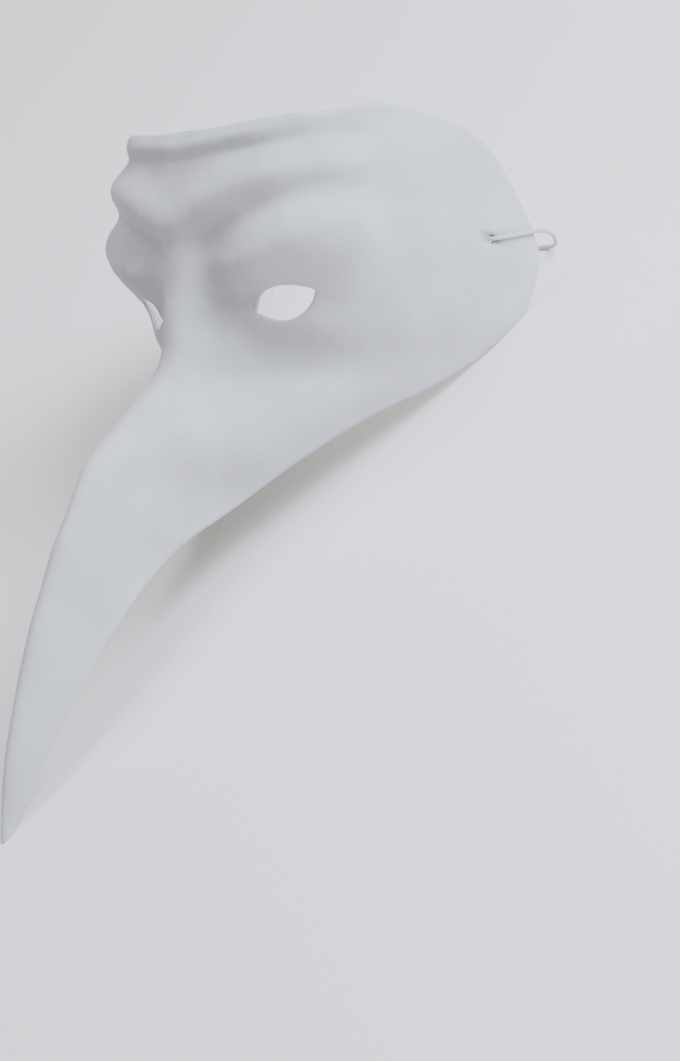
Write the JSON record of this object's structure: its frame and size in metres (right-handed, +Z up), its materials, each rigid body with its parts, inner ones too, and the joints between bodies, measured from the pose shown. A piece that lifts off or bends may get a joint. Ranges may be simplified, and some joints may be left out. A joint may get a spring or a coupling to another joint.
{
  "type": "venetian beak mask",
  "caption": "White papier-mache half mask with a furrowed brow, almond eye holes and a long drooping beak, with an elastic cord between its cheeks, lying on its rims and beak tip.",
  "frame": {"origin": "on the surface the mask lies on, under the middle of the mask's own box, leaving out the elastic", "axes": "+X from the brow to the beak's tip, +Y towards the wearer's left, +Z up from the surface"},
  "size_m": [0.3138, 0.1588, 0.1238],
  "materials": {
    "papier_mache": "matte white gesso, bare and unpainted",
    "white_elastic": "thin round braided elastic"
  },
  "bodies": {
    "root": {"mask_shell": "papier_mache", "elastic_cord": "white_elastic", "elastic_knot_left": "white_elastic", "elastic_knot_right": "white_elastic"}
  },
  "joints": []
}
